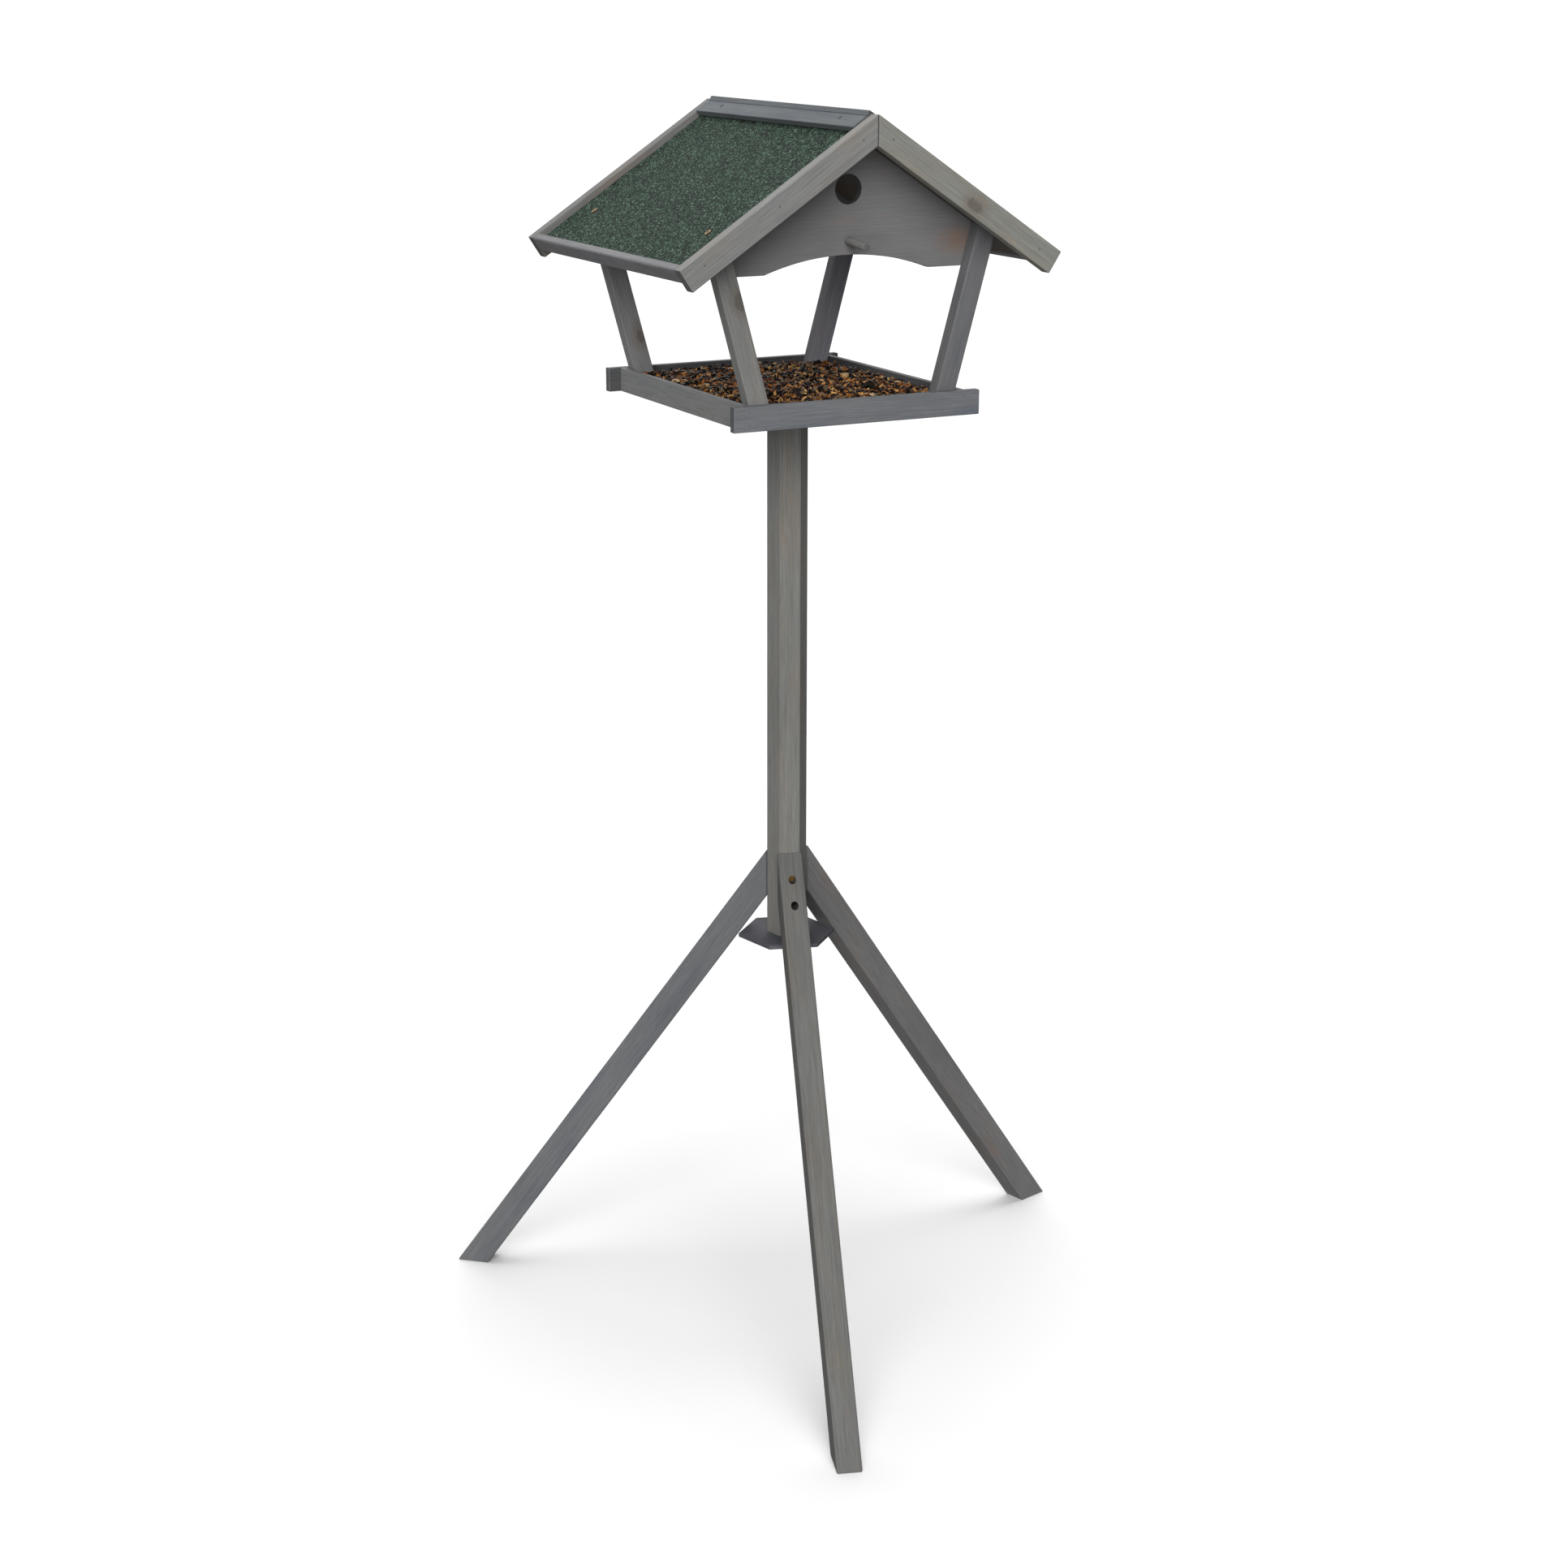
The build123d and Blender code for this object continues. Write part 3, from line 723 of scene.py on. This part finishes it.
# dry husks and kernels, dull with a trace of sheen; sizes in millimetres
seedKinds = {
    "blackSunflower": {
        "size": (11.0, 5.4, 3.8), "count": 1250, "point": 0.55,
        "colours": ["#080503", "#130b06", "#20130a", "#0c0704"],
    },
    "stripedSunflower": {
        "size": (12.5, 5.8, 4.0), "count": 160, "point": 0.5, "striped": True,
        "colours": ["#1a120b", "#2e2114", "#4a3521", "#5f482f"],
    },
    "wheat": {
        "size": (6.6, 2.9, 2.6), "count": 1000, "point": 0.25,
        "colours": ["#2f1807", "#673914", "#9c6428", "#d3a15a"],
    },
    "crackedMaize": {
        "size": (5.6, 3.9, 2.6), "count": 380, "point": -0.25,
        "colours": ["#552b10", "#884a1e", "#b57238", "#dca868"],
    },
    "redMilo": {
        "size": (3.0, 2.8, 2.7), "count": 600, "point": 0.0,
        "colours": ["#2c1408", "#522710", "#8a5122", "#dfbd84"],
    },
    "peanutPieces": {
        "size": (10.0, 6.2, 4.2), "count": 45, "point": -0.1,
        "colours": ["#8c6238", "#a97f4c", "#c9a36c", "#dec293"],
    },
    "emptyHusks": {
        "size": (8.5, 3.2, 0.8), "count": 1500, "point": 0.6,
        "colours": ["#371808", "#7a3f1a", "#b57436", "#e0b070"],
    },
}


def seedCoat(name, values, bed):
    material, tree, output = newMaterial(name)
    tint = addNode(tree, "Attribute", attribute_name="seedTint").outputs["Fac"]
    place = addNode(tree, "Attribute", attribute_name="seedPlace").outputs["Vector"]
    stops = [(i / 3, code) for i, code in enumerate(values["colours"])]
    colour = addNode(tree, "ValToRGB", {"Fac": tint}, ramp=stops).outputs["Color"]
    if values.get("striped"):
        # a wave's bands are a twentieth of a turn apart at scale 1; seedPlace is in millimetres
        bandScale = math.tau / 20 / bed["stripe"]
        bands = {"Vector": place, "Scale": bandScale, "Distortion": 1.2}
        band = addNode(tree, "TexWave", bands, bands_direction="Y").outputs["Fac"]
        pale = {"Value": band, 1: 0.62, 2: 0.8, 3: 0.0, 4: bed["stripeOver"]}
        pale = addNode(tree, "MapRange", pale).outputs[0]
        over = {0: pale, 6: colour, 7: hexToLinear(bed["stripeColour"])}
        colour = addNode(tree, "Mix", over, data_type="RGBA").outputs[2]
    mottle = {"Vector": place, "Scale": 1 / bed["mottle"], "Detail": 2.0}
    mottle = addNode(tree, "TexNoise", mottle).outputs["Fac"]
    low, high = bed["mottleContrast"]
    shade = {"Value": mottle, 1: 0.25, 2: 0.75, 3: low, 4: high}
    shade = addNode(tree, "MapRange", shade).outputs[0]
    colour = addNode(tree, "VectorMath", {0: colour, "Scale": shade}, operation="SCALE").outputs[0]
    finish = {"Base Color": colour, "Roughness": 0.55, "Specular IOR Level": 0.15}
    surface = addNode(tree, "BsdfPrincipled", finish)
    tree.links.new(surface.outputs[0], output.inputs["Surface"])
    return material


def crumbsAndGapShade(bed):
    # dust and crumbs between the seeds, quite matt; their near-black is partly painted shade in
    # the gaps between the seeds
    material, tree, output = newMaterial("seedDustAndShade")
    place = addNode(tree, "TexCoord").outputs["Object"]
    crumbs = {"Vector": place, "Scale": 1000 / bed["crumb"]}
    crumbs = addNode(tree, "TexVoronoi", crumbs, feature="F1")
    pick = addNode(tree, "SeparateColor", {0: crumbs.outputs["Color"]}).outputs[0]
    colour = addNode(tree, "ValToRGB", {"Fac": pick}, ramp=bed["crumbAndShadeColours"]).outputs["Color"]
    surface = addNode(tree, "BsdfPrincipled", {"Base Color": colour, "Roughness": 0.8})
    tree.links.new(surface.outputs[0], output.inputs["Surface"])
    return material


def oneSeed(name, values):
    # a plump seed with one end drawn to a point, as small as 40 faces because there are thousands
    bm = bmesh.new()
    bmesh.ops.create_uvsphere(bm, u_segments=8, v_segments=5, radius=0.5)
    lying = Matrix.Rotation(math.pi / 2, 3, "Y")
    bmesh.ops.rotate(bm, verts=bm.verts, cent=(0, 0, 0), matrix=lying)
    length, width, thickness = values["size"]
    placeLayer = bm.verts.layers.float_vector.new("seedPlace")
    bm.verts.layers.float.new("seedTint")
    for v in bm.verts:
        # it narrows from a tenth of its length behind its middle
        narrowing = 1 - values["point"] * max(0.0, v.co.x + 0.1)
        x, y, z = v.co
        v.co = Vector((x * length, y * width * narrowing, z * thickness * narrowing))
        v[placeLayer] = v.co
        v.co /= 1000
    mesh = bpy.data.meshes.new(name + "One")
    bm.to_mesh(mesh)
    bm.free()
    return mesh


def bedHeight(bed, x, y):
    slow = noise.noise(Vector((x, y, 0.3)) / bed["slowHeap"])
    quick = noise.noise(Vector((x, y, 1.7)) / bed["quickHeap"])
    return bed["rise"] * (bed["slowShare"] * slow + bed["quickShare"] * quick)


def heapDustAndShade(bed, low, high):
    # the bed under the loose seeds; its near-black colour is partly painted shade in the gaps
    bm = bmesh.new()
    size = high - low
    cells = (round(size.x / bed["cell"]), round(size.y / bed["cell"]))
    bmesh.ops.create_grid(bm, x_segments=cells[0], y_segments=cells[1], size=0.5)
    bmesh.ops.scale(bm, verts=bm.verts, vec=(size.x, size.y, 1))
    centre = (low + high) / 2
    bmesh.ops.translate(bm, verts=bm.verts, vec=(centre.x, centre.y, high.z - bed["rise"]))
    for v in bm.verts:
        v.co.z += bedHeight(bed, v.co.x, v.co.y)
    rim = [edge for edge in bm.edges if edge.is_boundary]
    skirt = bmesh.ops.extrude_edge_only(bm, edges=rim)["geom"]
    for v in skirt:
        if isinstance(v, bmesh.types.BMVert):
            v.co.z = low.z + bed["offFloor"]
    bmesh.ops.holes_fill(bm, edges=[edge for edge in bm.edges if edge.is_boundary], sides=0)
    bmesh.ops.recalc_face_normals(bm, faces=bm.faces)
    mesh = bpy.data.meshes.new("seedDustAndShade")
    bm.to_mesh(mesh)
    bm.free()
    mesh.materials.append(crumbsAndGapShade(bed))
    heap = bpy.data.objects.new("seedDustAndShade", mesh)
    scene.collection.objects.link(heap)
    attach(heap, "root")
    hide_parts("seed_bed")


def scatterSeeds(bed, kinds, low, high):
    chance = random.Random("seed in the tray")
    postLow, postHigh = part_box("post_front_right")
    for name, values in kinds.items():
        seed = oneSeed(name, values)
        reach = values["size"][0] / 2000
        bm = bmesh.new()
        for i in range(values["count"]):
            x = chance.uniform(low.x + reach, high.x - reach)
            y = chance.uniform(low.y + reach, high.y - reach)
            # none inside the posts
            if abs(x) > postLow.x - reach / 2 and abs(y) > -postHigh.y - reach / 2:
                continue
            z = high.z - bed["rise"] + bedHeight(bed, x, y)
            z += chance.triangular(bed["lowest"], bed["highest"], bed["usual"])
            turned = (
                Matrix.Rotation(chance.uniform(0, math.tau), 4, "Z")
                @ Matrix.Rotation(chance.gauss(0, bed["tilt"]), 4, "Y")
                @ Matrix.Rotation(chance.uniform(-bed["roll"], bed["roll"]), 4, "X")
            )
            grown = Matrix.Diagonal([chance.uniform(*bed["growth"]) for axis in range(3)] + [1])
            copy = seed.copy()
            tint = chance.random()
            copy.attributes["seedTint"].data.foreach_set("value", [tint] * len(copy.vertices))
            copy.transform(Matrix.Translation((x, y, z)) @ turned @ grown)
            bm.from_mesh(copy)
            bpy.data.meshes.remove(copy)
        mesh = bpy.data.meshes.new(name)
        bm.to_mesh(mesh)
        bm.free()
        mesh.shade_smooth()
        mesh.materials.append(seedCoat(name, values, bed))
        piece = bpy.data.objects.new(name, mesh)
        scene.collection.objects.link(piece)
        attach(piece, "root")
        bpy.data.meshes.remove(seed)


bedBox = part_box("seed_bed")
heapDustAndShade(seedBedValues, *bedBox)
scatterSeeds(seedBedValues, seedKinds, *bedBox)
print("tray filled")


# roughness where it is tarnished and where it is clean
metalValues = {
    # yellow passivated zinc on steel: soft gold, clouded where it tarnishes
    "yellowZinc": {
        "clean": "#9a7c4c", "tarnish": "#4f3b22", "roughness": (0.62, 0.32), "metallic": 1.0
    },
    # steel pins painted over with the wood's grey stain
    "stainedPin": {
        "clean": "#747577", "tarnish": "#5c5e61", "roughness": (0.8, 0.5), "metallic": 0.0
    },
    # plain wire nails, browned by rain
    "rustyWire": {
        "clean": "#4a3d33", "tarnish": "#2c2520", "roughness": (0.8, 0.5), "metallic": 1.0
    },
}
tarnishSpot = 1.1  # millimetres


def fastenerMetal(name, values):
    material, tree, output = newMaterial(name)
    place = addNode(tree, "TexCoord").outputs["Object"]
    spots = {"Vector": place, "Scale": 1000 / tarnishSpot, "Detail": 3.0}
    spots = addNode(tree, "TexNoise", spots).outputs["Fac"]
    ramp = [(0.35, values["tarnish"]), (0.6, values["clean"])]
    base = addNode(tree, "ValToRGB", {"Fac": spots}, ramp=ramp).outputs["Color"]
    tarnished, clean = values["roughness"]
    rough = {"Value": spots, 3: tarnished, 4: clean}
    rough = addNode(tree, "MapRange", rough).outputs[0]
    finish = {"Base Color": base, "Metallic": values["metallic"], "Roughness": rough}
    surface = addNode(tree, "BsdfPrincipled", finish)
    tree.links.new(surface.outputs[0], output.inputs["Surface"])
    return material


metals = {name: fastenerMetal(name, values) for name, values in metalValues.items()}
fastenerMetals = {
    "roof_screws": "yellowZinc",
    "leg_screws": "yellowZinc",
    "post_screws": "yellowZinc",
    "tray_screws": "yellowZinc",
    "head_plate_screws": "yellowZinc",
    "spreader_screw": "yellowZinc",
    "ridge_nails": "rustyWire",
    "barge_pins": "stainedPin",
    "eave_pins": "stainedPin",
    "gable_pins": "stainedPin",
    "tray_pins": "stainedPin",
}
for name, metal in fastenerMetals.items():
    nodes[name].data.materials.clear()
    nodes[name].data.materials.append(metals[metal])
print("screws and pins finished")
